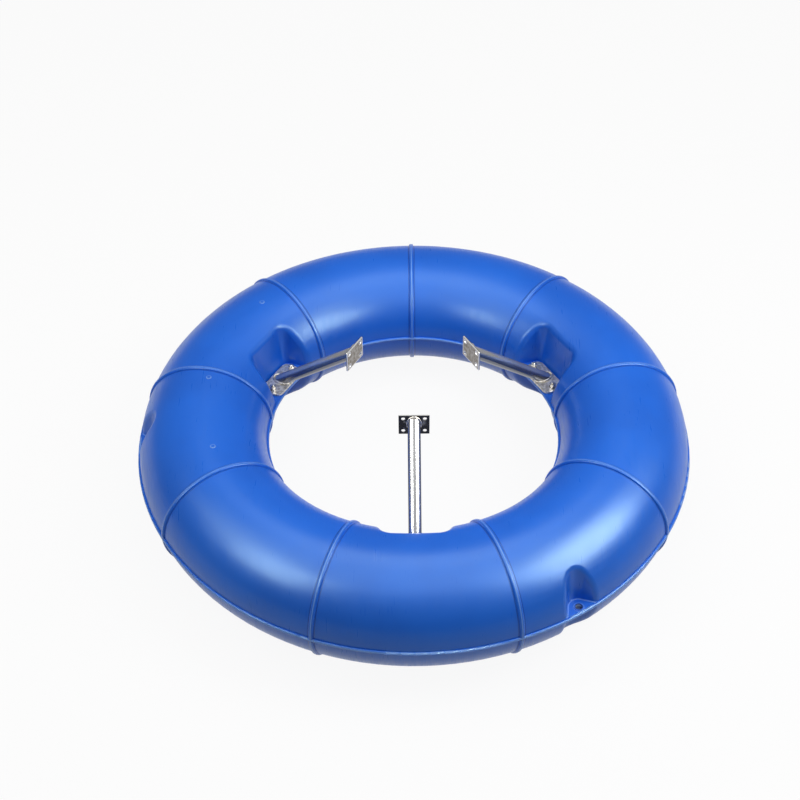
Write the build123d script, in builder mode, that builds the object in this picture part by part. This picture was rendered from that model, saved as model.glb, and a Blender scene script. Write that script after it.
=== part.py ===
"""Float and strut frame of a surge aerator, in millimetres.

A hollow moulded ring floats level on the pond. Three stainless struts stand in
pockets on its inner side and lean in over the open centre, where their end
plates carry the drive. The origin is on the ring's axis, at the underside that
the ring rests on, and +Z is up. Azimuths are counted from +X towards +Y.
"""

import os
from math import acos, cos, radians, sqrt, tan

from build123d import *

# Float ring: an oval tube bent into a circle
ring_radius = 577.0
tube_half_width = 173.0
tube_half_height = 162.0
base_flat_depth = 2.0
wall = 5.0

# Moulded beads: one along the parting plane, nine round the tube
seam_bead_radius = 5.0
seam_bead_height = 6.0
rib_count = 9
rib_first_azimuth = 10.0
rib_width = 13.0
rib_height = 5.0
rib_edge_radius = 4.5

# Low round buttons on the crest: azimuth and distance from the tube's centre line
button_diameter = 14.0
button_height = 1.5
button_edge_radius = 1.2
button_places = ((138.5, -2.0), (173.4, -17.0), (201.0, -17.0))

# Solid flange left at the parting plane in every pocket
flange_thickness = 14.0
draft_angle = 6.0

# Inner pockets that take the feet of the struts
pocket_count = 3
pocket_first_azimuth = 30.0
pocket_back_gap = 4.0
pocket_end_gap = 6.0
pocket_side_flare = 13.0
pocket_corner_radius = 16.0
pocket_rim_radius = 21.0
pocket_wall = 12.0

# Outer pockets with the tie-down lugs
lug_first_azimuth = 63.0
lug_hole_diameter = 18.0
lug_hole_edge_distance = 13.0
lug_rim_width = 3.0
lug_rim_height = 2.0
lug_back_radius = 27.0
lug_side_angle = 50.0
lug_pocket_rim_radius = 18.0

# Foot plates that lie on the flange, centred on the struts
foot_setback = 27.0
foot_length = 128.0
foot_thickness = 6.0
foot_corner_radius = 18.0
foot_weld_margin = 2.0
bolt_spacing = 96.0

# Struts and their welds
strut_diameter = 33.7
strut_wall = 2.6
weld_leg = 4.0
weld_edge = 0.6

# End plates that carry the drive
end_plate_radius = 183.0
end_plate_rise = 217.0
end_plate_width = 80.0
end_plate_height = 64.0
end_plate_thickness = 4.0
end_plate_corner_radius = 1.5
end_hole_diameter = 11.0
end_hole_spacing_across = 56.0
end_hole_spacing_up = 42.0
strut_head_offset = 5.5

# Fasteners
bolt_diameter = 10.0
bolt_hole_gap = 0.5
washer_gap = 0.25
thread_gap = 0.1
hex_across_flats = 16.0
head_height = 6.4
nut_height = 8.4
washer_diameter = 20.0
washer_thickness = 2.0
wide_washer_diameter = 30.0
wide_washer_thickness = 2.5
spring_washer_diameter = 18.0
spring_washer_thickness = 2.4
spring_washer_slit = 2.0
spring_washer_turn = 20.0
thread_end = 4.7

# Heights and radii that follow from the sizes above
parting_height = tube_half_height - base_flat_depth
flange_half = flange_thickness / 2
flange_top = parting_height + flange_half
flange_bottom = parting_height - flange_half
inner_radius = ring_radius - tube_half_width
outer_radius = ring_radius + tube_half_width
pocket_height = tube_half_height + 40.0
lug_hole_centre = outer_radius - lug_hole_edge_distance
foot_radius = inner_radius + foot_setback
foot_top = flange_top + foot_thickness
strut_radius = strut_diameter / 2
strut_foot = Vector(foot_radius, 0, foot_top)
strut_head = Vector(
    end_plate_radius + end_plate_thickness / 2,
    0,
    parting_height + end_plate_rise + strut_head_offset,
)
strut_run = strut_head - strut_foot
strut_foot_half = strut_radius * strut_run.length / strut_run.Z
foot_width = 2 * (strut_foot_half + weld_leg + foot_weld_margin)
bolt_hole_radius = bolt_diameter / 2 + bolt_hole_gap
bolt_radius = bolt_diameter / 2 - thread_gap
bolt_places = [(foot_radius, -bolt_spacing / 2), (foot_radius, bolt_spacing / 2)]
washer_bottom = foot_top
spring_washer_bottom = washer_bottom + washer_thickness
nut_bottom = spring_washer_bottom + spring_washer_thickness
bolt_end = nut_bottom + nut_height + thread_end
wide_washer_bottom = flange_bottom - wide_washer_thickness
arms = {"rear_right": 30.0, "rear_left": 150.0, "front": 270.0}


def tube_section(half_width, half_height, underside):
    """Oval section of the tube, cut level at its underside."""
    with BuildSketch(Plane.XZ) as section:
        with Locations((ring_radius, parting_height)):
            Ellipse(half_width, half_height)
        with Locations((ring_radius, underside)):
            Rectangle(
                2 * half_width,
                half_height,
                align=(Align.CENTER, Align.MAX),
                mode=Mode.SUBTRACT,
            )
    return section.sketch


def rib():
    """Oval disc at azimuth 0, whose rounded edge stands proud of the tube."""
    with BuildPart() as disc:
        with BuildSketch(Plane.XZ):
            with Locations((ring_radius, parting_height)):
                Ellipse(tube_half_width + rib_height, tube_half_height + rib_height)
        extrude(amount=rib_width / 2, both=True)
        fillet(disc.edges(), rib_edge_radius)
        split(bisect_by=Plane.XY, keep=Keep.TOP)
    return disc.part


def drafted_pocket(plan, floor):
    """Plan outline drawn up and down from the flange, opening at the draft angle."""
    with BuildPart() as pocket:
        with BuildSketch(Plane.XY.offset(parting_height + floor)):
            add(plan)
        extrude(amount=pocket_height, taper=-draft_angle)
        mirror(about=Plane.XY.offset(parting_height))
    return pocket.part


def foot_pocket(grow=0.0, floor=flange_half):
    """Room for a foot plate at azimuth 0, with sides that flare to the centre."""
    back = foot_radius + foot_width / 2 + pocket_back_gap + grow
    half_back = foot_length / 2 + pocket_end_gap + grow
    mouth = inner_radius - 2 * pocket_rim_radius - seam_bead_height
    half_mouth = half_back + (back - mouth) * tan(radians(pocket_side_flare))
    with BuildSketch() as plan:
        with BuildLine():
            Polyline(
                (mouth, -half_mouth),
                (back, -half_back),
                (back, half_back),
                (mouth, half_mouth),
                close=True,
            )
        make_face()
        fillet(plan.vertices().group_by(Axis.X)[-1], pocket_corner_radius + grow)
    return drafted_pocket(plan.sketch, floor)


def lug_pocket(grow=0.0, floor=flange_half):
    """Scallop round a lug hole at azimuth 0, with its back concentric to the hole."""
    back_radius = lug_back_radius + grow
    tip = lug_hole_centre - back_radius / cos(radians(lug_side_angle))
    mouth = outer_radius + 2 * lug_pocket_rim_radius + seam_bead_height
    half_mouth = (mouth - tip) / tan(radians(lug_side_angle))
    with BuildSketch() as plan:
        with BuildLine():
            Polyline((mouth, -half_mouth), (tip, 0), (mouth, half_mouth), close=True)
        make_face()
        fillet(plan.vertices().group_by(Axis.X)[0], back_radius)
    return drafted_pocket(plan.sketch, floor)


def button(offset):
    """Button on the crest at azimuth 0, with a rounded edge."""
    rise = tube_half_height * sqrt(1 - (offset / tube_half_width) ** 2)
    with BuildPart() as disc:
        with BuildSketch(Plane.XY.offset(parting_height + rise + button_height)):
            with Locations((ring_radius + offset, 0)):
                Circle(button_diameter / 2)
        extrude(amount=-button_height - wall / 2)
        fillet(disc.edges().group_by(Axis.Z)[-1], button_edge_radius)
    return disc.part


def rim_edges(edges):
    """Edges where a pocket breaks out of the tube, which are curved and not level."""
    rims = []
    for edge in edges:
        straight = edge.length - (edge.position_at(1) - edge.position_at(0)).length < 0.01
        level = edge.bounding_box().size.Z < flange_half
        if not straight and not level:
            rims.append(edge)
    return rims


def air_chamber():
    """Closed hollow of the ring, which stops at the walls of the pockets."""
    with BuildPart() as chamber:
        with BuildSketch(Plane.XZ):
            add(tube_section(tube_half_width - wall, tube_half_height - wall, wall))
        revolve(axis=Axis.Z)
        with PolarLocations(0, pocket_count, start_angle=pocket_first_azimuth):
            add(foot_pocket(pocket_wall, 0), mode=Mode.SUBTRACT)
        with PolarLocations(0, pocket_count, start_angle=lug_first_azimuth):
            add(lug_pocket(pocket_wall, 0), mode=Mode.SUBTRACT)
    return chamber.part


def float_ring():
    """Moulded ring with its beads, foot pockets, lugs and holes."""
    with BuildPart() as ring:
        with BuildSketch(Plane.XZ):
            add(tube_section(tube_half_width, tube_half_height, 0))
        revolve(axis=Axis.Z)
        seam_reach = tube_half_width + seam_bead_height - seam_bead_radius
        with BuildSketch(Plane.XZ):
            with Locations((ring_radius, parting_height)):
                with GridLocations(2 * seam_reach, 1, 2, 1):
                    Circle(seam_bead_radius)
        revolve(axis=Axis.Z)

        with PolarLocations(0, pocket_count, start_angle=pocket_first_azimuth):
            add(foot_pocket(), mode=Mode.SUBTRACT)
        fillet(rim_edges(ring.edges(Select.LAST)), pocket_rim_radius)
        with PolarLocations(0, pocket_count, start_angle=lug_first_azimuth):
            add(lug_pocket(), mode=Mode.SUBTRACT)
        fillet(rim_edges(ring.edges(Select.LAST)), lug_pocket_rim_radius)

        with PolarLocations(0, rib_count, start_angle=rib_first_azimuth):
            add(rib())
        for azimuth, offset in button_places:
            with PolarLocations(0, 1, start_angle=azimuth):
                add(button(offset))
        add(air_chamber(), mode=Mode.SUBTRACT)

        rim_stack = flange_thickness + 2 * lug_rim_height
        with BuildSketch(Plane.XY.offset(parting_height)):
            with PolarLocations(lug_hole_centre, pocket_count, start_angle=lug_first_azimuth):
                Circle(lug_hole_diameter / 2 + lug_rim_width)
        extrude(amount=rim_stack / 2, both=True)
        with BuildSketch(Plane.XY.offset(parting_height)):
            with PolarLocations(lug_hole_centre, pocket_count, start_angle=lug_first_azimuth):
                Circle(lug_hole_diameter / 2)
            with PolarLocations(0, pocket_count, start_angle=pocket_first_azimuth):
                with Locations(*bolt_places):
                    Circle(bolt_hole_radius)
        extrude(amount=rim_stack / 2, both=True, mode=Mode.SUBTRACT)
    return ring.part


def foot_plate():
    """Plate with two bolt holes that carries a strut's lower end."""
    with BuildPart() as plate:
        with BuildSketch(Plane.XY.offset(flange_top)):
            with Locations((foot_radius, 0)):
                RectangleRounded(foot_width, foot_length, foot_corner_radius)
            with Locations(*bolt_places):
                Circle(bolt_hole_radius, mode=Mode.SUBTRACT)
        extrude(amount=foot_thickness)
    return plate.part


def strut():
    """Round tube, cut level on the foot plate and upright on the end plate."""
    with BuildPart() as tube:
        with BuildSketch(Plane(origin=strut_foot, z_dir=strut_run).offset(-strut_diameter)):
            Circle(strut_radius)
            Circle(strut_radius - strut_wall, mode=Mode.SUBTRACT)
        extrude(amount=strut_run.length + 2 * strut_diameter)
        split(bisect_by=Plane.XY.offset(foot_top), keep=Keep.TOP)
        split(bisect_by=Plane(origin=strut_head, z_dir=(1, 0, 0)), keep=Keep.TOP)
    return tube.part


def weld(seat, outward):
    """Fillet weld round the strut on one plate, where outward leaves the plate."""
    lean = acos(seat.z_dir.dot(outward.normalized()))
    long_radius = strut_radius / cos(lean)
    with BuildPart() as bead:
        with BuildSketch(seat):
            Ellipse(long_radius + weld_leg, strut_radius + weld_leg)
        with BuildSketch(seat.offset(weld_leg)):
            with Locations((weld_leg * tan(lean), 0)):
                Ellipse(long_radius + weld_edge, strut_radius + weld_edge)
        loft()
        with BuildSketch(Plane(origin=seat.origin, z_dir=outward).offset(-strut_diameter)):
            Circle(strut_radius)
        extrude(amount=2 * strut_diameter + weld_leg, mode=Mode.SUBTRACT)
    return bead.part


def foot_weld():
    """Weld between a strut and its foot plate."""
    return weld(Plane(origin=strut_foot, x_dir=(-1, 0, 0), z_dir=(0, 0, 1)), strut_run)


def head_weld():
    """Weld between a strut and its end plate."""
    return weld(Plane(origin=strut_head, x_dir=(0, 0, -1), z_dir=(1, 0, 0)), -strut_run)


def end_plate():
    """Upright plate with four bolt holes for the drive's bracket."""
    centre = (end_plate_radius, 0, parting_height + end_plate_rise)
    with BuildPart() as plate:
        with BuildSketch(Plane(origin=centre, x_dir=(0, 1, 0), z_dir=(1, 0, 0))):
            RectangleRounded(end_plate_width, end_plate_height, end_plate_corner_radius)
            with GridLocations(end_hole_spacing_across, end_hole_spacing_up, 2, 2):
                Circle(end_hole_diameter / 2, mode=Mode.SUBTRACT)
        extrude(amount=end_plate_thickness / 2, both=True)
    return plate.part


def hexagons(bottom, height, rounded_ends):
    """Hexagons at both bolts, with their corners turned off at the ends given."""
    corner_radius = hex_across_flats / sqrt(3)
    turned_depth = corner_radius - hex_across_flats / 2
    with BuildPart() as turned:
        with BuildSketch(Plane.XY.offset(bottom)):
            with Locations(*bolt_places):
                Circle(corner_radius)
        extrude(amount=height)
        rounds = turned.edges().filter_by(GeomType.CIRCLE).group_by(Axis.Z)
        for end in rounded_ends:
            chamfer(rounds[end], turned_depth / 2, turned_depth)
    with BuildPart() as hexes:
        with BuildSketch(Plane.XY.offset(bottom)):
            with Locations(*bolt_places):
                RegularPolygon(hex_across_flats / 2, 6, major_radius=False)
        extrude(amount=height)
        add(turned.part, mode=Mode.INTERSECT)
    return hexes.part


def bolts():
    """Hexagon bolts put in from below, with their heads under the flange."""
    with BuildPart() as pair:
        add(hexagons(wide_washer_bottom - head_height, head_height, [0]))
        with BuildSketch(Plane.XY.offset(wide_washer_bottom)):
            with Locations(*bolt_places):
                Circle(bolt_radius)
        extrude(amount=bolt_end - wide_washer_bottom)
        chamfer(pair.edges().group_by(Axis.Z)[-1], bolt_radius / 5)
    return pair.part


def nuts():
    """Hexagon nuts on top of the stack."""
    with BuildPart() as pair:
        add(hexagons(nut_bottom, nut_height, [0, -1]))
        with BuildSketch(Plane.XY.offset(nut_bottom)):
            with Locations(*bolt_places):
                Circle(bolt_diameter / 2)
        extrude(amount=nut_height, mode=Mode.SUBTRACT)
    return pair.part


def washers(bottom, thickness, diameter, slit=0.0):
    """Washers at both bolts, cut through on one side where they have a slit."""
    with BuildPart() as pair:
        with BuildSketch(Plane.XY.offset(bottom)):
            with Locations(*bolt_places):
                Circle(diameter / 2)
                Circle(bolt_diameter / 2 + washer_gap, mode=Mode.SUBTRACT)
            if slit:
                with Locations(*bolt_places):
                    with Locations(Rotation(0, 0, spring_washer_turn)):
                        Rectangle(
                            diameter,
                            slit,
                            align=(Align.MIN, Align.CENTER),
                            mode=Mode.SUBTRACT,
                        )
        extrude(amount=thickness)
    return pair.part


def save(name, shape, azimuth=0.0):
    """Turn a piece to its azimuth, label it and write it."""
    with BuildPart() as piece:
        with PolarLocations(0, 1, start_angle=azimuth):
            add(shape)
    piece.part.label = name
    export_step(piece.part, f"parts/{name}.step")


os.makedirs("parts", exist_ok=True)
save("float_ring", float_ring())
arm_pieces = {
    "foot_plate": foot_plate(),
    "strut": strut(),
    "end_plate": end_plate(),
    "foot_weld": foot_weld(),
    "head_weld": head_weld(),
    "bolts": bolts(),
    "wide_washers": washers(wide_washer_bottom, wide_washer_thickness, wide_washer_diameter),
    "washers": washers(washer_bottom, washer_thickness, washer_diameter),
    "spring_washers": washers(
        spring_washer_bottom,
        spring_washer_thickness,
        spring_washer_diameter,
        spring_washer_slit,
    ),
    "nuts": nuts(),
}
for arm, azimuth in arms.items():
    for piece, shape in arm_pieces.items():
        save(f"{arm}_{piece}", shape, azimuth)
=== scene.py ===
"""Looks of a surge aerator's float and strut frame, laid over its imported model, in metres."""

from math import atan2, cos, pi, radians, sin

import bmesh
import bpy
from bpy.props import FloatProperty, FloatVectorProperty, IntProperty, PointerProperty
from mathutils import Matrix, Vector


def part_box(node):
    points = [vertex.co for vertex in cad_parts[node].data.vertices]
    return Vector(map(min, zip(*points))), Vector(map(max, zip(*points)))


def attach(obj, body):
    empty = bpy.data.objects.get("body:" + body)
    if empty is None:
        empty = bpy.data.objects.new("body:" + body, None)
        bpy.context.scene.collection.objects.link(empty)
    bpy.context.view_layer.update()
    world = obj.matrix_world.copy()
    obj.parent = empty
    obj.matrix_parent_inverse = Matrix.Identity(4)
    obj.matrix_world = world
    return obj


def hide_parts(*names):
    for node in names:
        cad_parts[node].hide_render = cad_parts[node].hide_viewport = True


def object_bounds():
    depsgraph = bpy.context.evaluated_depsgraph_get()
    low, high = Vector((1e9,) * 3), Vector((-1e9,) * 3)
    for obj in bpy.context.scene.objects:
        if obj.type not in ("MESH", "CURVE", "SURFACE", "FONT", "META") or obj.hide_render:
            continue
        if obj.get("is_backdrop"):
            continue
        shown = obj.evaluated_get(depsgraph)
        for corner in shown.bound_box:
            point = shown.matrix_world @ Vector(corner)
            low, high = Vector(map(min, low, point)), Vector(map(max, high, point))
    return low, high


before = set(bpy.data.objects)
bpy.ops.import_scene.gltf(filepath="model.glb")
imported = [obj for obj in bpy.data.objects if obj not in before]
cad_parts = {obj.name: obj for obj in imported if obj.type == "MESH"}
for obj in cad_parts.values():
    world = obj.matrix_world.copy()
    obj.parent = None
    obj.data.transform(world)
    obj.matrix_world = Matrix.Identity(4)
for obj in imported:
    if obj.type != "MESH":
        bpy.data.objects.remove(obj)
cad_box = [list(corner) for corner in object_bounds()]

bl_info = {
    "name": "Surge Aerator Float Frame",
    "version": (1, 0, 0),
    "blender": (4, 5, 0),
    "location": "3D View > Sidebar > Aerator",
    "description": "Finishes, welds and studio for the float and strut frame of a surge aerator",
    "category": "Object",
}

# Arms of the frame, with the azimuth of each in degrees, from +X towards +Y
ARMS = {"rear_right": 30.0, "rear_left": 150.0, "front": 270.0}
FASTENERS = ("bolts", "wide_washers", "washers", "spring_washers", "nuts")

# Places on an arm at azimuth 0, where +X points outwards, read from the front arm
FOOT_LOW, FOOT_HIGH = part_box("front_foot_weld")
HEAD_LOW, HEAD_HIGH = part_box("front_head_weld")
END_LOW, END_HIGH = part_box("front_end_plate")
STRUT_FOOT = Vector((-(FOOT_LOW.y + FOOT_HIGH.y) / 2, 0, FOOT_LOW.z))
STRUT_HEAD = Vector((-HEAD_HIGH.y, 0, (HEAD_LOW.z + HEAD_HIGH.z) / 2))
STRUT_LEAN = (STRUT_HEAD.z - STRUT_FOOT.z) / (STRUT_FOOT.x - STRUT_HEAD.x)
END_PLATE_MIDDLE = -(END_LOW.y + END_HIGH.y) / 2
END_PLATE_HEIGHT = (END_LOW.z + END_HIGH.z) / 2

# Half of the flange's thickness, and the parting plane in its middle
FLANGE_HALF = 0.007
PARTING_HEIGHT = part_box("front_foot_plate")[0].z - FLANGE_HALF

# Beads round the tube, and how far from a bead's middle its groove lies, where a painted shade
# line runs
RIB_PITCH = radians(40)
RIB_FIRST = radians(10)
RIB_GROOVE = 0.0085

# Bead along the parting plane: its painted highlight line lies above the plane and its groove,
# with a painted shade line, below
SEAM_CREST = 0.002
SEAM_GROOVE = 0.0056

# Lugs: places of the holes, radius of the pad's round back, and slant of its sides
LUG_PITCH = radians(120)
LUG_FIRST = radians(63)
LUG_REACH = 0.737
LUG_BACK = 0.027
LUG_SIDE = radians(40)

# Pad of a lug, for its painted highlight lines and the painted shade in its hole: heights above
# the parting plane, inset of its outline, distances from its hole
PAD_FLOOR = 0.0075
PAD_EDGE = 0.0055
PAD_OUTLINE = 0.0015
PAD_RING = 0.0128
PAD_EDGE_REACH = (0.03, 0.04)
PAD_HOLE = (0.0094, 0.0104)

# Low buttons on the crest: azimuth in degrees, distance from the ring's axis
BUTTONS = [(138.5, 0.575), (173.4, 0.56), (201.0, 0.56)]
# Radius of the painted highlight ring round each button
BUTTON_RING = 0.0062

# Painted highlight lines, and the painted shade line beside beads, on the plastic: strength, then
# the half widths at which a line begins to fade and is gone
RIB_HIGHLIGHT = (0.55, 0.0002, 0.0023)
SEAM_HIGHLIGHT = (0.75, 0.0006, 0.0026)
PAD_EDGE_HIGHLIGHT = (1.0, 0.0004, 0.0012)
PAD_RING_HIGHLIGHT = (0.45, 0.0006, 0.0026)
PAD_OUTLINE_HIGHLIGHT = (0.7, 0.0008, 0.0024)
BUTTON_HIGHLIGHT = (0.6, 0.0005, 0.0022)
GROOVE_SHADE = (0.65, 0.0003, 0.002)

# Strut: length along it for each step outwards, and distances aside where its sides are painted
# darker as shade
ALONG_OUTWARDS = 1.3
TUBE_SIDE_SHADE = (0.0115, 0.016)

# How far from a strut's middle its weld ends, at its foot and at its head
FOOT_WELD_REACH = 0.021
HEAD_WELD_REACH = 0.02

# Outwards from an end plate's middle: where its strut side begins, and where it lies behind
END_STRUT_SIDE = (0.0, 0.0015)
END_BEHIND = (0.01, 0.03)

# Holes of an end plate, aside from its middle and above it, and the painted highlight rim round
# each
END_HOLE_ASIDE = 0.028
END_HOLE_ABOVE = 0.021
END_HOLE_RIM = 0.0062
END_HOLE_HIGHLIGHT = (1.0, 0.0005, 0.0018)

# Dressed edges of an end plate, past the lines of its holes
END_EDGE_ASIDE = (0.0085, 0.0115)
END_EDGE_ABOVE = (0.0075, 0.0105)

# Softboxes: place, aim, width, length, power in watts, and whether it only shows in reflections
SOFTBOXES = {
    "top_softbox": ((0, 0.7, 2.8), (0, 0, 0.2), 1.9, 1.0, 8.0, False),
    "right_softbox": ((2.3, -0.3, 2.6), (0.3, -0.2, 0.2), 1.5, 2.0, 45.0, False),
    "left_softbox": ((-2.1, -0.2, 2.6), (-0.3, -0.2, 0.2), 1.1, 2.0, 18.0, False),
    "right_glint": ((1.38, -0.69, 1.31), (0.3, -0.3, 0.25), 1.2, 0.95, 47.0, True),
    "left_glint": ((-1.42, -1.05, 1.55), (-0.35, -0.5, 0.25), 0.9, 1.0, 29.0, True),
    "top_glint": ((0, -0.3, 2.6), (0, -0.3, 0.2), 2.2, 3.4, 50.0, True),
}
FLOOR_SIDES = 128


class PlasticSettings(bpy.types.PropertyGroup):
    """Moulded polyethylene of the float."""

    colour: FloatVectorProperty(
        name="Colour",
        description="Colour of the plastic",
        subtype="COLOR",
        default=(0.006, 0.138, 0.74),
    )
    deep_colour: FloatVectorProperty(
        name="Deep colour",
        description="Its darker clouds",
        subtype="COLOR",
        default=(0.005, 0.118, 0.66),
    )
    # Painted highlight on the crests of beads, pad edges, pad rings and button rims
    highlight_colour: FloatVectorProperty(
        name="Worn colour",
        description="Rubbed crest of the beads",
        subtype="COLOR",
        default=(0.36, 0.6, 1.0),
    )
    # Painted shade in the corners beside beads and inside the lug holes
    groove_shade_colour: FloatVectorProperty(
        name="Groove colour",
        description="Corner beside a bead",
        subtype="COLOR",
        default=(0.002, 0.036, 0.26),
    )
    roughness: FloatProperty(
        name="Roughness",
        description="Roughness of the skin",
        default=0.34,
        subtype="FACTOR",
    )
    gloss: FloatProperty(
        name="Gloss",
        description="Specular level of the skin",
        default=0.5,
        subtype="FACTOR",
    )
    gloss_tint: FloatVectorProperty(
        name="Gloss tint",
        description="Tint of the skin's reflections",
        subtype="COLOR",
        default=(0.72, 1.0, 0.85),
    )
    streak_width: FloatProperty(
        name="Streak width",
        description="Width of the fine mould lines",
        default=0.0028,
        subtype="DISTANCE",
    )
    streak_length: FloatProperty(
        name="Streak length",
        description="Length of the fine mould lines",
        default=0.06,
        subtype="DISTANCE",
    )
    streak_depth: FloatProperty(
        name="Streak depth",
        description="Depth of the fine mould lines",
        default=0.00003,
        subtype="DISTANCE",
    )
    grain_depth: FloatProperty(
        name="Grain depth",
        description="Depth of the skin's fine grain",
        default=0.00002,
        subtype="DISTANCE",
    )


class SteelSettings(bpy.types.PropertyGroup):
    """Stainless steel of struts, plates and fasteners."""

    tube_colour: FloatVectorProperty(
        name="Tube colour",
        description="Polished tube",
        subtype="COLOR",
        default=(0.66, 0.66, 0.66),
    )
    # Painted shade on the sides of the tube
    tube_side_shade: FloatVectorProperty(
        name="Tube side",
        description="Duller sides of the tube",
        subtype="COLOR",
        default=(0.12, 0.13, 0.16),
    )
    tube_edge: FloatVectorProperty(
        name="Tube edge",
        description="Tint of the tube's outlines",
        subtype="COLOR",
        default=(0.3, 0.31, 0.35),
    )
    tube_roughness: FloatProperty(
        name="Tube roughness",
        description="Roughness of the polished tube",
        default=0.2,
        subtype="FACTOR",
    )
    polish_depth: FloatProperty(
        name="Polish depth",
        description="Depth of the tube's polishing lines",
        default=0.000006,
        subtype="DISTANCE",
    )
    plate_colour: FloatVectorProperty(
        name="Plate colour",
        description="Light parts of the plates",
        subtype="COLOR",
        default=(0.72, 0.71, 0.68),
    )
    plate_stain: FloatVectorProperty(
        name="Plate stain",
        description="Dull parts of the plates",
        subtype="COLOR",
        default=(0.42, 0.39, 0.35),
    )
    plate_brown: FloatVectorProperty(
        name="Plate brown",
        description="Brownish haze on the end plates",
        subtype="COLOR",
        default=(0.19, 0.16, 0.125),
    )
    plate_haze: FloatVectorProperty(
        name="Plate haze",
        description="Clearer parts of the end plates",
        subtype="COLOR",
        default=(0.44, 0.41, 0.37),
    )
    # Dressed edges, and the painted highlight on the hole rims
    dressed_edge_and_rim_highlight: FloatVectorProperty(
        name="Bright edge",
        description="Dressed edges and hole rims",
        subtype="COLOR",
        default=(0.86, 0.85, 0.83),
    )
    # Painted dark reflection on the strut side of the end plates
    dark_reflection_colour: FloatVectorProperty(
        name="Scale colour",
        description="Dark scale on the strut side of the end plates",
        subtype="COLOR",
        default=(0.014, 0.014, 0.017),
    )
    pit_depth: FloatProperty(
        name="Pit depth",
        description="Depth of the plates' mottle",
        default=0.0003,
        subtype="DISTANCE",
    )
    scratch_depth: FloatProperty(
        name="Scratch depth",
        description="Depth of the plates' scratches",
        default=0.00003,
        subtype="DISTANCE",
    )
    fastener_colour: FloatVectorProperty(
        name="Fastener colour",
        description="Bolts, nuts and washers",
        subtype="COLOR",
        default=(0.63, 0.63, 0.62),
    )
    turning_depth: FloatProperty(
        name="Turning depth",
        description="Depth of the turned rings on the fasteners",
        default=0.00001,
        subtype="DISTANCE",
    )
    straw_colour: FloatVectorProperty(
        name="Straw tint",
        description="Outer band of heat tint",
        subtype="COLOR",
        default=(0.72, 0.65, 0.5),
    )
    oxide_colour: FloatVectorProperty(
        name="Oxide tint",
        description="Inner band of heat tint",
        subtype="COLOR",
        default=(0.07, 0.06, 0.075),
    )
    tint_reach: FloatProperty(
        name="Tint reach",
        description="How far heat tint spreads from a weld",
        default=0.006,
        subtype="DISTANCE",
    )


class WeldSettings(bpy.types.PropertyGroup):
    """Beads between the struts and their plates."""

    bead_radius: FloatProperty(
        name="Bead radius",
        description="Half thickness of a bead",
        default=0.003,
        subtype="DISTANCE",
    )
    ripple_pitch: FloatProperty(
        name="Ripple pitch",
        description="Length of one ripple",
        default=0.0034,
        subtype="DISTANCE",
    )
    ripple_height: FloatProperty(
        name="Ripple height",
        description="Height of a ripple, as a share of the bead",
        default=0.12,
        subtype="FACTOR",
    )
    steps_per_ripple: IntProperty(
        name="Steps per ripple",
        description="Faces along one ripple",
        default=6,
    )
    profile_steps: IntProperty(
        name="Profile steps",
        description="Faces round the bead",
        default=12,
    )


class StudioSettings(bpy.types.PropertyGroup):
    """Floor, sky and camera."""

    camera_place: FloatVectorProperty(
        name="Camera place",
        description="Where the camera stands",
        subtype="XYZ",
        default=(-0.02525, -2.99486, 3.12722),
    )
    camera_aim: FloatVectorProperty(
        name="Camera aim",
        description="Point in the middle of the picture",
        subtype="XYZ",
        default=(-0.03664, 0.13794, 0.16),
    )
    camera_roll: FloatProperty(
        name="Camera roll",
        description="Turn of the camera about its axis",
        subtype="ANGLE",
        default=radians(-0.651),
    )
    lens: FloatProperty(
        name="Lens",
        description="Focal length in millimetres",
        default=68.6,
    )
    floor_colour: FloatVectorProperty(
        name="Floor colour",
        description="Colour of the floor, as the camera and mirror images see it",
        subtype="COLOR",
        default=(0.78, 0.78, 0.78),
    )
    floor_bounce: FloatVectorProperty(
        name="Floor bounce",
        description="Colour that the floor throws back",
        subtype="COLOR",
        default=(0.26, 0.26, 0.26),
    )
    floor_radius: FloatProperty(
        name="Floor radius",
        description="Reach of the floor",
        default=3.6,
        subtype="DISTANCE",
    )
    floor_glow: FloatProperty(
        name="Floor glow",
        description="Share of plain white that the camera sees",
        default=0.92,
        subtype="FACTOR",
    )
    wall_strength: FloatProperty(
        name="Wall strength",
        description="How bright the walls are in mirror images",
        default=0.3,
    )
    ceiling_strength: FloatProperty(
        name="Ceiling strength",
        description="How bright the ceiling is in mirror images",
        default=0.9,
    )
    sky_strength: FloatProperty(
        name="Sky strength",
        description="Soft light from above",
        default=0.65,
    )


SETTINGS = {
    "aerator_plastic": PlasticSettings,
    "aerator_steel": SteelSettings,
    "aerator_weld": WeldSettings,
    "aerator_studio": StudioSettings,
}


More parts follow.
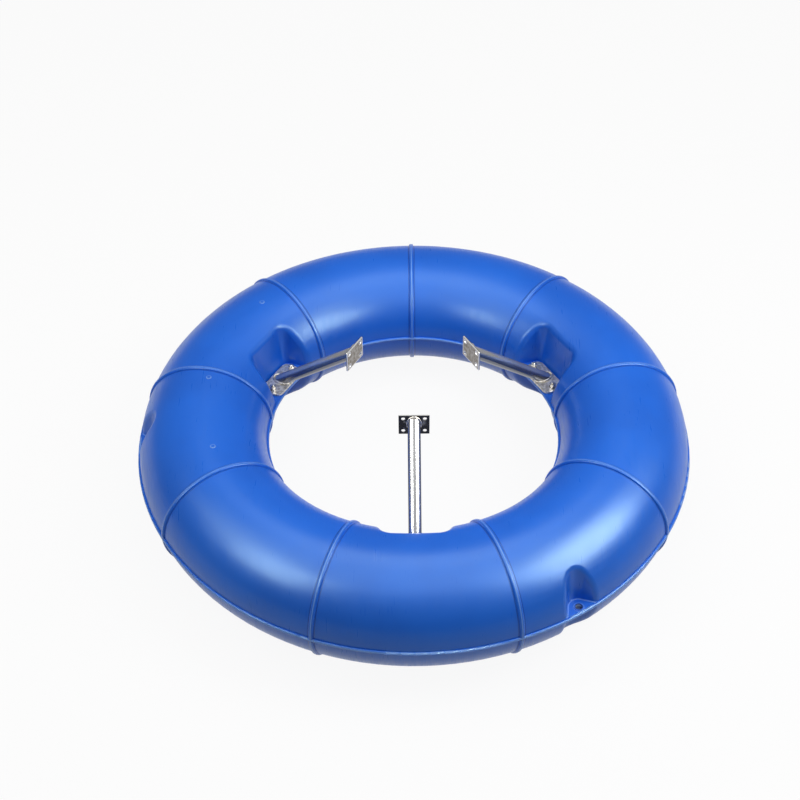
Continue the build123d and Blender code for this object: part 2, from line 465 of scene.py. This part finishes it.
class Wire:
    """A shader socket that Python's operators work on."""

    def __init__(self, nodes, socket):
        self.nodes = nodes
        self.socket = socket

    def math(self, operation, *values):
        """A Math node on the values given."""
        return self.nodes.node("ShaderNodeMath", {"operation": operation}, dict(enumerate(values)))

    def __add__(self, other):
        return self.math("ADD", self, other)

    def __radd__(self, other):
        return self.math("ADD", other, self)

    def __sub__(self, other):
        return self.math("SUBTRACT", self, other)

    def __rsub__(self, other):
        return self.math("SUBTRACT", other, self)

    def __mul__(self, other):
        return self.math("MULTIPLY", self, other)

    def __rmul__(self, other):
        return self.math("MULTIPLY", other, self)

    def __truediv__(self, other):
        return self.math("DIVIDE", self, other)

    def __pow__(self, other):
        return self.math("POWER", self, other)

    def __abs__(self):
        return self.math("ABSOLUTE", self)

    def __round__(self):
        return self.math("ROUND", self)

    def smallest(self, other):
        return self.math("MINIMUM", self, other)

    def largest(self, other):
        return self.math("MAXIMUM", self, other)

    def step(self, low, high):
        """0 up to low and 1 from high on, with a soft change in between."""
        return self.nodes.node(
            "ShaderNodeMapRange",
            {"interpolation_type": "SMOOTHSTEP"},
            {"Value": self, "From Min": low, "From Max": high},
        )

    def line(self, strength, full, gone):
        """A line where this distance is 0, which fades between two half widths."""
        return strength - strength * abs(self).step(full, gone)


class Nodes:
    """A node tree, with one method that adds nodes to it and a few that use it."""

    def __init__(self, tree):
        self.tree = tree

    def node(self, kind, settings=None, inputs=None, output=0):
        """A new node, with its settings made first and its sockets fed after them."""
        made = self.tree.nodes.new(kind)
        for key, value in (settings or {}).items():
            setattr(made, key, value)
        for key, value in (inputs or {}).items():
            self.feed(made.inputs[key], value)
        return Wire(self, made.outputs[output])

    def feed(self, socket, value):
        """Link a wire to a socket, or set the socket to a plain value."""
        if isinstance(value, Wire):
            self.tree.links.new(value.socket, socket)
        else:
            socket.default_value = value

    def parts(self, place):
        """The X, Y and Z of a place."""
        x = self.node("ShaderNodeSeparateXYZ", inputs={0: place})
        return [Wire(self, socket) for socket in x.socket.node.outputs]

    def joined(self, x, y, z):
        return self.node("ShaderNodeCombineXYZ", inputs={0: x, 1: y, 2: z})

    def noise(self, place, scale, detail=2.0, roughness=0.5):
        return self.node(
            "ShaderNodeTexNoise",
            inputs={"Vector": place, "Scale": scale, "Detail": detail, "Roughness": roughness},
        )

    def mix(self, factor, low, high):
        """A mix of two colours, each a wire or three numbers."""
        low, high = [c if isinstance(c, Wire) else (*c, 1) for c in (low, high)]
        return self.node(
            "ShaderNodeMix", {"data_type": "RGBA"}, {0: factor, 6: low, 7: high}, output=2
        )

    def bump(self, height, distance, under=None):
        """Normals raised by a height, on top of those of another bump."""
        inputs = {"Height": height, "Distance": distance, "Strength": 1.0}
        if under:
            inputs["Normal"] = under
        return self.node("ShaderNodeBump", inputs=inputs)


class Finish(Nodes):
    """One procedural material, with the nodes that feed its shader."""

    def __init__(self, name, colour, roughness, metallic=0.0):
        self.material = bpy.data.materials.new(name)
        self.material.use_nodes = True
        self.material.diffuse_color = (*colour, 1)
        super().__init__(self.material.node_tree)
        self.shader = self.tree.nodes["Principled BSDF"]
        self.set("Base Color", (*colour, 1))
        self.set("Roughness", roughness)
        self.set("Metallic", metallic)

    def set(self, name, value):
        self.feed(self.shader.inputs[name], value)

    def place(self, turn=0.0):
        """Object coordinates, turned about Z by the angle given."""
        coordinates = self.node("ShaderNodeTexCoord", output="Object")
        if not turn:
            return coordinates
        inputs = {"Vector": coordinates, "Rotation": (0, 0, turn)}
        return self.node("ShaderNodeMapping", inputs=inputs)


def past_nearest(azimuth, first, pitch):
    """Angle, without its sign, from the nearest of the marks that stand a pitch apart."""
    turn = azimuth / pitch - first / pitch
    return abs(turn - round(turn)) * pitch


def length_of(x, y):
    """Length of the hypotenuse over two sides."""
    return (x * x + y * y) ** 0.5


def pad_lines(past, beside, rise):
    """Painted highlight lines on the edge, ring and outline of a lug's pad, whose hole is at 0
    past and 0 beside.
    """
    from_hole = length_of(beside, past)
    in_side = past * sin(LUG_SIDE) + LUG_BACK - beside * cos(LUG_SIDE)
    on_side = (past * cos(LUG_SIDE) + beside * sin(LUG_SIDE)).step(-0.001, 0.001)
    inside = (LUG_BACK - from_hole).largest(in_side - 1 + on_side)
    on_floor = 1 - abs(rise - PAD_FLOOR).step(0.001, 0.002)
    edge = (rise - PAD_EDGE).line(*PAD_EDGE_HIGHLIGHT) * (1 - from_hole.step(*PAD_EDGE_REACH))
    ring = (from_hole - PAD_RING).line(*PAD_RING_HIGHLIGHT)
    outline = (inside - PAD_OUTLINE).line(*PAD_OUTLINE_HIGHLIGHT) * on_floor
    return edge.largest(ring).largest(outline)


def painted_highlights_and_shade(x, y, rise):
    """Masks of the painted highlight lines on beads, pads and buttons, and of the painted shade in
    the grooves and lug holes.
    """
    reach = length_of(x, y)
    azimuth = y.math("ARCTAN2", y, x)
    from_rib = past_nearest(azimuth, RIB_FIRST, RIB_PITCH) * reach
    beside_lug = past_nearest(azimuth, LUG_FIRST, LUG_PITCH) * reach
    past_lug = reach - LUG_REACH
    # Painted highlight lines on the seam, lug pads, ribs and buttons
    seam = (rise - SEAM_CREST).line(*SEAM_HIGHLIGHT)
    pad = pad_lines(past_lug, beside_lug, rise)
    painted_highlights = from_rib.line(*RIB_HIGHLIGHT).largest(seam).largest(pad)
    for turn, distance in BUTTONS:
        aside_x = x - distance * cos(radians(turn))
        aside_y = y - distance * sin(radians(turn))
        from_middle = length_of(aside_x, aside_y)
        painted_highlights = painted_highlights.largest((from_middle - BUTTON_RING).line(*BUTTON_HIGHLIGHT))
    # Painted shade lines in the grooves beside beads, and painted shade inside the lug holes
    beside_bead = abs(from_rib - RIB_GROOVE).smallest(abs(rise + SEAM_GROOVE))
    hole_shade = 1 - length_of(beside_lug, past_lug).step(*PAD_HOLE)
    return painted_highlights, beside_bead.line(*GROOVE_SHADE).largest(hole_shade)


def plastic_finish(settings):
    """Satin blue plastic with cloudy tone, fine mould lines, painted highlights on beads, pads and
    buttons whose crests are rubbed smoother, and painted shade beside the beads.
    """
    finish = Finish("moulded_plastic", settings.colour, settings.roughness)
    finish.set("Specular IOR Level", settings.gloss)
    finish.set("Specular Tint", (*settings.gloss_tint, 1))
    place = finish.place()
    x, y, z = finish.parts(place)
    width, length = settings.streak_width, settings.streak_length
    streaks = finish.noise(finish.joined(x / width, y / length, z / length), scale=1.0)
    clouds = finish.noise(place, scale=3.2, detail=3.0)
    grain = finish.noise(place, scale=700.0, detail=1.0)
    scuffs = finish.noise(place, scale=26.0, detail=6.0, roughness=0.7).step(0.6, 0.78)
    painted_highlights, painted_shade = painted_highlights_and_shade(x, y, z - PARTING_HEIGHT)
    colour = finish.mix(clouds.step(0.35, 0.65), settings.deep_colour, settings.colour)
    # Painted shade beside the beads and in the lug holes
    colour = finish.mix(painted_shade, colour, settings.groove_shade_colour)
    # Painted highlight lines mixed into the plastic's colour
    finish.set("Base Color", finish.mix(painted_highlights * 0.7, colour, settings.highlight_colour))
    uneven = settings.roughness + (streaks - 0.5) * 0.3 + scuffs * 0.08 + (clouds - 0.5) * 0.08
    # Where the highlights are painted, the crests are also rubbed smoother
    finish.set("Roughness", uneven - painted_highlights * 0.22)
    lines = finish.bump(streaks, settings.streak_depth)
    finish.set("Normal", finish.bump(grain, settings.grain_depth, lines))
    return finish.material


def heat_tint(finish, distance, bare, settings):
    """Bare metal, straw and dark oxide, nearer and nearer to a weld."""
    reach = settings.tint_reach
    straw = finish.mix(1 - distance.step(0.35 * reach, reach), bare, settings.straw_colour)
    return finish.mix(1 - distance.step(0, 0.4 * reach), straw, settings.oxide_colour)


def tube_finish(arm, settings):
    """Polished tube with lengthwise polishing lines, tinted ends and sides painted darker as
    shade.
    """
    finish = Finish(f"{arm}_tube_steel", settings.tube_colour, settings.tube_roughness, 0.8)
    finish.set("Specular Tint", (*settings.tube_edge, 1))
    out, across, up = finish.parts(finish.place(radians(-ARMS[arm])))
    side = up + (out - STRUT_FOOT.x) * STRUT_LEAN
    lines = finish.noise(finish.joined(out * 14, across * 1100, side * 1100), scale=1.0)
    clouds = finish.noise(finish.joined(out, across, up), scale=34.0, detail=3.0)
    from_head = (out - STRUT_HEAD.x) * ALONG_OUTWARDS
    from_foot = up - STRUT_FOOT.z
    distance = from_head.smallest(from_foot) + (clouds - 0.5) * 0.012
    # Sides of the tube painted darker as shade
    side_shade = abs(across).step(*TUBE_SIDE_SHADE) * side.step(-0.003, 0.003)
    steel = finish.mix(side_shade * 0.8, settings.tube_colour, settings.tube_side_shade)
    finish.set("Base Color", heat_tint(finish, distance, steel, settings))
    finish.set("Roughness", settings.tube_roughness + (lines - 0.5) * 0.1 + (clouds - 0.5) * 0.1)
    finish.set("Normal", finish.bump(lines, settings.polish_depth))
    return finish.material


def plate_finish(arm, settings):
    """Mottled plate with a tint round its weld, and a painted dark reflection on the end plate's
    strut side, lighter where smears lie near the head weld.
    """
    finish = Finish(f"{arm}_plate_steel", settings.plate_colour, 0.35, 1.0)
    place = finish.place(radians(-ARMS[arm]))
    out, across, up = finish.parts(place)
    mottle = finish.noise(place, scale=120.0, detail=4.0, roughness=0.6)
    patches = finish.noise(place, scale=46.0, detail=3.0, roughness=0.6)
    scratches = finish.noise(finish.joined(out * 260, across * 30, up * 900), scale=1.0)
    past_end = out - END_PLATE_MIDDLE
    on_end_plate = 1 - past_end.step(*END_BEHIND)
    strut_side = on_end_plate * past_end.step(*END_STRUT_SIDE)
    from_foot = length_of(out - STRUT_FOOT.x, across) - FOOT_WELD_REACH + (mottle - 0.5) * 0.02
    from_head = length_of(up - STRUT_HEAD.z, across) - HEAD_WELD_REACH + (mottle - 0.5) * 0.016
    aside = abs(across) - END_HOLE_ASIDE
    above = abs(up - END_PLATE_HEIGHT) - END_HOLE_ABOVE
    rim = (length_of(aside, above) - END_HOLE_RIM).line(*END_HOLE_HIGHLIGHT)
    edge = aside.step(*END_EDGE_ASIDE).largest(above.step(*END_EDGE_ABOVE))
    bare = finish.mix(mottle.step(0.36, 0.6), settings.plate_stain, settings.plate_colour)
    brown = finish.mix(mottle.step(0.35, 0.65), settings.plate_brown, settings.plate_haze)
    # Dressed edges and painted highlight rims round the holes of the end plates
    inner = finish.mix(rim.largest(edge) * on_end_plate, brown, settings.dressed_edge_and_rim_highlight)
    tinted = heat_tint(finish, from_foot, bare, settings)
    plain = finish.mix(on_end_plate, tinted, inner)
    # Strut side of the end plate painted dark as a reflection, lighter where smears lie near the
    # head weld
    smears = patches.step(0.58, 0.66) * (1 - from_head.step(0.004, 0.02)) * 0.4
    dark_reflection = finish.mix(smears, settings.dark_reflection_colour, settings.plate_colour)
    finish.set("Base Color", finish.mix(strut_side, plain, dark_reflection))
    finish.set("Metallic", 0.72 - strut_side * (1 - smears) * 0.45)
    finish.set("Roughness", 0.24 + mottle * 0.22 + (scratches - 0.5) * 0.12 + strut_side * 0.12)
    pits = finish.bump(mottle, settings.pit_depth)
    finish.set("Normal", finish.bump(scratches, settings.scratch_depth, pits))
    return finish.material


def weld_finish(settings):
    """Bead metal with straw and grey patches."""
    finish = Finish("weld_metal", settings.plate_colour, 0.3, 1.0)
    patches = finish.noise(finish.place(), scale=150.0, detail=3.0, roughness=0.6)
    straw = finish.mix(patches.step(0.35, 0.6), settings.straw_colour, settings.plate_colour)
    oxide = patches.step(0.5, 0.62) * 0.8
    finish.set("Base Color", finish.mix(oxide, straw, settings.oxide_colour))
    finish.set("Roughness", 0.2 + patches * 0.25)
    return finish.material


def fastener_finish(settings):
    """Bright turned steel."""
    finish = Finish("fastener_steel", settings.fastener_colour, 0.25, 1.0)
    place = finish.place()
    up = finish.parts(place)[2]
    clouds = finish.noise(place, scale=260.0, detail=3.0)
    rings = finish.noise(finish.joined(0.0, 0.0, up * 2600), scale=1.0, detail=1.0)
    colour = finish.mix(clouds.step(0.3, 0.7), settings.plate_stain, settings.fastener_colour)
    finish.set("Base Color", colour)
    finish.set("Roughness", 0.16 + clouds * 0.18 + (rings - 0.5) * 0.06)
    finish.set("Normal", finish.bump(rings, settings.turning_depth))
    return finish.material


def dress(node, material):
    """Give a CAD node its finish."""
    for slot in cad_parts[node].material_slots:
        slot.material = material


def add_piece(name, mesh, material, slot_name, *replaced):
    """Link a finished mesh as a piece of the object."""
    piece = bpy.data.objects.new(name, mesh)
    bpy.context.scene.collection.objects.link(piece)
    mesh.materials.append(material)
    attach(piece, "root")
    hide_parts(*replaced)


def bead_mesh(name, half_long, half_short, seat, settings):
    """Rippled ring of weld on an oval, whose seat takes its middle and axes to their place."""
    bm = bmesh.new()
    circle = bmesh.ops.create_circle(
        bm, segments=settings.profile_steps, radius=settings.bead_radius
    )
    turn = Matrix.Translation((half_short, 0, 0)) @ Matrix.Rotation(pi / 2, 4, "X")
    bmesh.ops.transform(bm, matrix=turn, verts=circle["verts"])
    ripples = round(pi * (half_long + half_short) / settings.ripple_pitch)
    bmesh.ops.spin(
        bm,
        geom=bm.verts[:] + bm.edges[:],
        axis=(0, 0, 1),
        cent=(0, 0, 0),
        angle=2 * pi,
        steps=ripples * settings.steps_per_ripple,
        use_merge=True,
    )
    bmesh.ops.remove_doubles(bm, verts=bm.verts[:], dist=settings.bead_radius / 100)
    for vert in bm.verts:
        azimuth = atan2(vert.co.y, vert.co.x)
        middle = Vector((vert.co.x, vert.co.y, 0)).normalized() * half_short
        on_oval = Vector((middle.x * half_long / half_short, middle.y, 0))
        ripple = abs(sin(azimuth * ripples / 2)) - 0.5
        vert.co = on_oval + (vert.co - middle) * (1 + settings.ripple_height * ripple)
    bmesh.ops.transform(bm, matrix=seat, verts=bm.verts[:])
    bmesh.ops.recalc_face_normals(bm, faces=bm.faces[:])
    for face in bm.faces:
        face.smooth = True
    mesh = bpy.data.meshes.new(name)
    bm.to_mesh(mesh)
    bm.free()
    return mesh


class AERATOR_OT_float_ring(bpy.types.Operator):
    """Finish the moulded float"""

    bl_idname = "aerator.float_ring"
    bl_label = "Float ring"

    def execute(self, context):
        dress("float_ring", plastic_finish(context.scene.aerator_plastic))
        return {"FINISHED"}


class AERATOR_OT_struts(bpy.types.Operator):
    """Finish the three polished struts"""

    bl_idname = "aerator.struts"
    bl_label = "Struts"

    def execute(self, context):
        for arm in ARMS:
            dress(f"{arm}_strut", tube_finish(arm, context.scene.aerator_steel))
        return {"FINISHED"}


class AERATOR_OT_plates(bpy.types.Operator):
    """Finish the foot plates and end plates"""

    bl_idname = "aerator.plates"
    bl_label = "Plates"

    def execute(self, context):
        for arm in ARMS:
            steel = plate_finish(arm, context.scene.aerator_steel)
            dress(f"{arm}_foot_plate", steel)
            dress(f"{arm}_end_plate", steel)
        return {"FINISHED"}


class AERATOR_OT_welds(bpy.types.Operator):
    """Lay a rippled bead round both ends of each strut"""

    bl_idname = "aerator.welds"
    bl_label = "Welds"

    def execute(self, context):
        settings = context.scene.aerator_weld
        metal = weld_finish(context.scene.aerator_steel)
        inset = settings.bead_radius * (1 + settings.ripple_height / 2)
        foot_size = (FOOT_HIGH - FOOT_LOW) / 2
        head_size = (HEAD_HIGH - HEAD_LOW) / 2
        foot_seat = Matrix.Translation(STRUT_FOOT)
        head_seat = Matrix.Translation(STRUT_HEAD) @ Matrix.Rotation(pi / 2, 4, "Y")
        beads = {
            "foot_weld": (foot_size.y - inset, foot_size.x - inset, foot_seat),
            "head_weld": (head_size.z - inset, head_size.x - inset, head_seat),
        }
        lift = Matrix.Translation((0, 0, settings.bead_radius / 3))
        for arm, azimuth in ARMS.items():
            turn = Matrix.Rotation(radians(azimuth), 4, "Z")
            for bead, (half_long, half_short, seat) in beads.items():
                name = f"{arm}_{bead}_bead"
                mesh = bead_mesh(name, half_long, half_short, turn @ seat @ lift, settings)
                add_piece(name, mesh, metal, "weld", f"{arm}_{bead}")
        return {"FINISHED"}


class AERATOR_OT_fasteners(bpy.types.Operator):
    """Finish the bolts, washers and nuts"""

    bl_idname = "aerator.fasteners"
    bl_label = "Fasteners"

    def execute(self, context):
        steel = fastener_finish(context.scene.aerator_steel)
        for arm in ARMS:
            for part in FASTENERS:
                dress(f"{arm}_{part}", steel)
        return {"FINISHED"}


def seen_plainly(nodes):
    """1 for rays from the camera and for those that a mirror or glass sends on."""
    camera, glossy, transmitted = [
        nodes.node("ShaderNodeLightPath", output=ray)
        for ray in ("Is Camera Ray", "Is Glossy Ray", "Is Transmission Ray")
    ]
    return (camera + glossy + transmitted).smallest(1)


def floor_finish(settings):
    """Pale floor that keeps a soft shadow, looks nearly white and is clear from below."""
    finish = Finish("studio_floor", settings.floor_colour, 0.9)
    surface = Wire(finish, finish.shader.outputs[0])
    seen = seen_plainly(finish)
    finish.set("Base Color", finish.mix(seen, settings.floor_bounce, settings.floor_colour))
    glow = finish.node("ShaderNodeEmission", inputs={"Color": (1, 1, 1, 1), "Strength": 1.0})
    shown = finish.node(
        "ShaderNodeMixShader", inputs={0: seen * settings.floor_glow, 1: surface, 2: glow}
    )
    below = finish.node("ShaderNodeNewGeometry", output="Backfacing")
    clear = finish.node("ShaderNodeBsdfTransparent")
    one_way = finish.node("ShaderNodeMixShader", inputs={0: below, 1: shown, 2: clear})
    finish.feed(finish.tree.nodes["Material Output"].inputs["Surface"], one_way)
    return finish.material


class Sky(Nodes):
    """World that lights softly from above, looks white, and has dimmer walls in mirror images."""

    def __init__(self, settings):
        world = bpy.data.worlds.new("studio_sky")
        world.use_nodes = True
        bpy.context.scene.world = world
        super().__init__(world.node_tree)
        height = self.parts(self.node("ShaderNodeTexCoord", output="Generated"))[2]
        walls = 1 - height.step(-0.2, -0.04) * (1 - settings.wall_strength)
        brighter = settings.ceiling_strength - settings.wall_strength
        mirrored = walls + height.step(0.7, 0.9) * brighter
        camera = self.node("ShaderNodeLightPath", output="Is Camera Ray")
        plain = camera + (1 - camera) * mirrored
        shown = seen_plainly(self)
        light = height.step(0, 1) * settings.sky_strength
        background = self.tree.nodes["Background"]
        self.feed(background.inputs["Color"], (1, 1, 1, 1))
        self.feed(background.inputs["Strength"], shown * plain + (1 - shown) * light)


class AERATOR_OT_studio(bpy.types.Operator):
    """Set up floor, lamps and camera"""

    bl_idname = "aerator.studio"
    bl_label = "Studio"

    def execute(self, context):
        settings = context.scene.aerator_studio
        context.scene.view_settings.view_transform = "Standard"
        self.lay_floor(context, settings)
        Sky(settings)
        for name, numbers in SOFTBOXES.items():
            self.hang_softbox(context, name, *numbers)
        self.show_only_in_float(bpy.data.objects["top_glint"])
        self.stand_camera(context, settings)
        return {"FINISHED"}

    def lay_floor(self, context, settings):
        bm = bmesh.new()
        bmesh.ops.create_circle(
            bm, cap_ends=True, segments=FLOOR_SIDES, radius=settings.floor_radius
        )
        mesh = bpy.data.meshes.new("studio_floor")
        bm.to_mesh(mesh)
        bm.free()
        mesh.materials.append(floor_finish(settings))
        floor = bpy.data.objects.new("studio_floor", mesh)
        context.scene.collection.objects.link(floor)
        floor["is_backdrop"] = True

    def hang_softbox(self, context, name, place, aim, width, length, power, glint):
        lamp = bpy.data.lights.new(name, "AREA")
        lamp.shape = "RECTANGLE"
        lamp.size = width
        lamp.size_y = length
        lamp.energy = power
        box = bpy.data.objects.new(name, lamp)
        box.location = place
        box.rotation_euler = (Vector(aim) - Vector(place)).to_track_quat("-Z", "Y").to_euler()
        box.visible_diffuse = not glint
        context.scene.collection.objects.link(box)

    def show_only_in_float(self, box):
        receivers = bpy.data.collections.new("float_only")
        receivers.objects.link(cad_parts["float_ring"])
        box.light_linking.receiver_collection = receivers

    def stand_camera(self, context, settings):
        camera = bpy.data.objects.new("camera", bpy.data.cameras.new("camera"))
        camera.data.lens = settings.lens
        place = Vector(settings.camera_place)
        view = Vector(settings.camera_aim) - place
        level = view.to_track_quat("-Z", "Y").to_matrix().to_4x4()
        roll = Matrix.Rotation(settings.camera_roll, 4, "Z")
        camera.matrix_world = Matrix.Translation(place) @ level @ roll
        context.scene.collection.objects.link(camera)
        context.scene.camera = camera


STEPS = [
    AERATOR_OT_studio,
    AERATOR_OT_float_ring,
    AERATOR_OT_struts,
    AERATOR_OT_plates,
    AERATOR_OT_welds,
    AERATOR_OT_fasteners,
]


class AERATOR_PT_panel(bpy.types.Panel):
    """Sizes, colours and steps of the aerator's looks"""

    bl_idname = "AERATOR_PT_panel"
    bl_label = "Surge aerator"
    bl_space_type = "VIEW_3D"
    bl_region_type = "UI"
    bl_category = "Aerator"

    def draw(self, context):
        for name, group in SETTINGS.items():
            column = self.layout.box().column()
            for key in group.__annotations__:
                column.prop(getattr(context.scene, name), key)
        for step in STEPS:
            self.layout.operator(step.bl_idname)


CLASSES = [*SETTINGS.values(), *STEPS, AERATOR_PT_panel]


def register():
    for each in CLASSES:
        bpy.utils.register_class(each)
    for name, group in SETTINGS.items():
        setattr(bpy.types.Scene, name, PointerProperty(type=group))


def unregister():
    for name in SETTINGS:
        delattr(bpy.types.Scene, name)
    for each in reversed(CLASSES):
        bpy.utils.unregister_class(each)


def main():
    register()
    bpy.ops.aerator.studio()
    bpy.ops.aerator.float_ring()
    bpy.ops.aerator.struts()
    bpy.ops.aerator.plates()
    bpy.ops.aerator.welds()
    bpy.ops.aerator.fasteners()
    visual_box = [list(corner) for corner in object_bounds()]
    {"cad": cad_box, "visual": visual_box}


if __name__ == "__main__":
    main()
